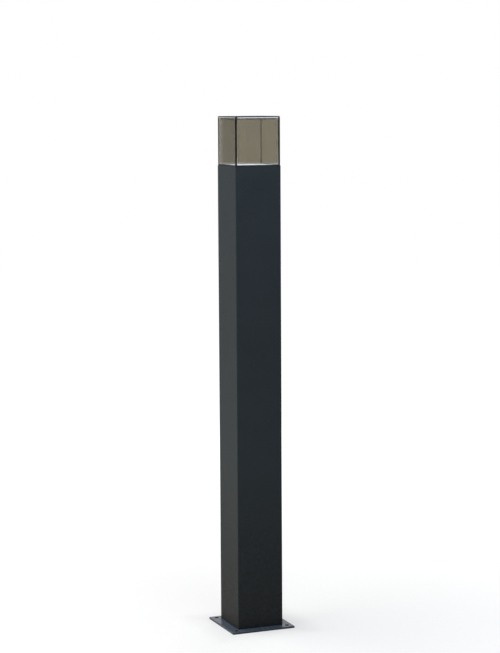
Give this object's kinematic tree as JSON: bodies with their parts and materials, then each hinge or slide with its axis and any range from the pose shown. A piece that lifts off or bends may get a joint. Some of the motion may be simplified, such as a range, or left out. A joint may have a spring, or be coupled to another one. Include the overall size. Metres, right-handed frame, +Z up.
{
  "type": "post lantern",
  "caption": "Square bollard lantern: coated extruded post on a bolt-down plate, with a glazed light head, slim corner bars and a flat lift-off lid.",
  "frame": {"origin": "centre of the base plate's underside, on the ground", "axes": "+Z up the post; -Y the front face, +X to the right seen from the front"},
  "size_m": [0.139, 0.139, 1.068],
  "materials": {
    "anthracite_coat": "fine-textured anthracite powder coat on aluminium",
    "dark_bar": "dark bronze anodised",
    "tinted_glass": "bronze-tinted float glass, polished edges",
    "stainless_steel": "plain stainless",
    "black_rubber": "matt black rubber",
    "clear_silicone": "milky translucent silicone",
    "grey_silicone": "grey silicone",
    "opal_acrylic": "opal white acrylic",
    "board_white": "white solder mask on a metal core",
    "phosphor": "yellow phosphor",
    "white_plastic": "moulded white plastic",
    "grey_plastic": "moulded grey plastic",
    "lead_sheath": "black cable sheath",
    "mill_aluminium": "mill-finish aluminium flat bar",
    "zinc_sheet": "zinc-plated steel sheet"
  },
  "bodies": {
    "post": {"base_plate": "anthracite_coat", "base_screws": "stainless_steel", "cable_grommet": "black_rubber", "post_tube": "anthracite_coat", "lamp_tray": "anthracite_coat", "tray_screws": "stainless_steel", "thermal_pad": "grey_silicone", "led_board": "board_white", "led_chips": "phosphor", "led_connector": "white_plastic", "board_screws": "stainless_steel", "diffuser_seal": "grey_silicone", "diffuser": "opal_acrylic", "diffuser_screws": "stainless_steel", "sill_seal": "black_rubber", "corner_bar_front_left": "dark_bar", "corner_bar_front_right": "dark_bar", "corner_bar_rear_right": "dark_bar", "corner_bar_rear_left": "dark_bar", "bar_screws": "stainless_steel", "glass_front": "tinted_glass", "glass_right": "tinted_glass", "glass_rear": "tinted_glass", "glass_left": "tinted_glass", "driver_bracket": "zinc_sheet", "bracket_screws": "stainless_steel", "led_driver": "white_plastic", "driver_screws": "stainless_steel", "lead_grommet": "black_rubber", "led_lead": "lead_sheath", "driver_input_lead": "lead_sheath", "terminal_block": "grey_plastic", "terminal_screws": "stainless_steel", "terminal_fixings": "stainless_steel", "earth_screw": "stainless_steel"},
    "lid": {"lid_plate": "anthracite_coat", "lid_frame": "mill_aluminium", "lid_seal": "clear_silicone", "lid_screws": "stainless_steel"}
  },
  "joints": [
    {"name": "lid_lift", "type": "slide", "parent": "post", "child": "lid", "axis": [0, 0, 1], "range_m": [0, 0.12]}
  ]
}
